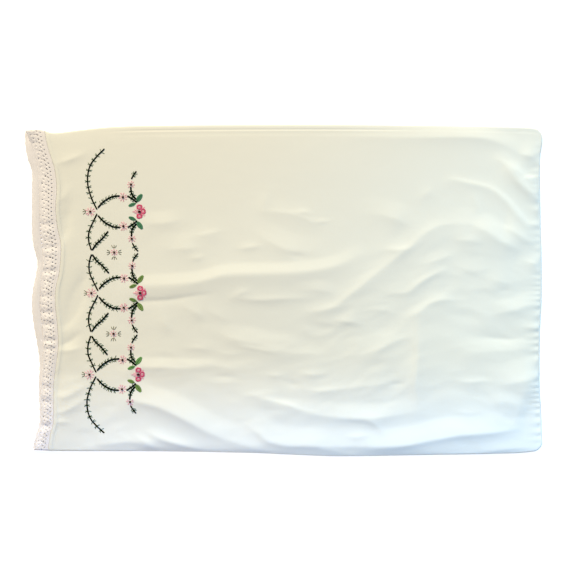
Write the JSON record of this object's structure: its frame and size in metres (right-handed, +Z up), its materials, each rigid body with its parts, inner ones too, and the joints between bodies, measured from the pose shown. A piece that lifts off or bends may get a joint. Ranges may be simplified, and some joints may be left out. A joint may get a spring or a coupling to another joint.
{
  "type": "pillowcase",
  "caption": "Empty cotton pillowcase lying flat with soft creases: a seamed bag, open at one end, with an embroidered hem and a crochet lace edging round its mouth.",
  "frame": {"origin": "on the surface the case lies on, under the middle of its whole outline", "axes": "+X along its length from the lace-edged mouth to the closed end, +Y across its width, +Z up from the surface"},
  "size_m": [0.803, 0.5148, 0.015],
  "materials": {
    "cotton": "plain white cotton weave with a soft sheen, washed and lightly creased",
    "lace": "matt cream-white crochet cotton"
  },
  "bodies": {
    "root": {"case_cloth": "cotton", "lace_edging": "lace"}
  },
  "joints": []
}
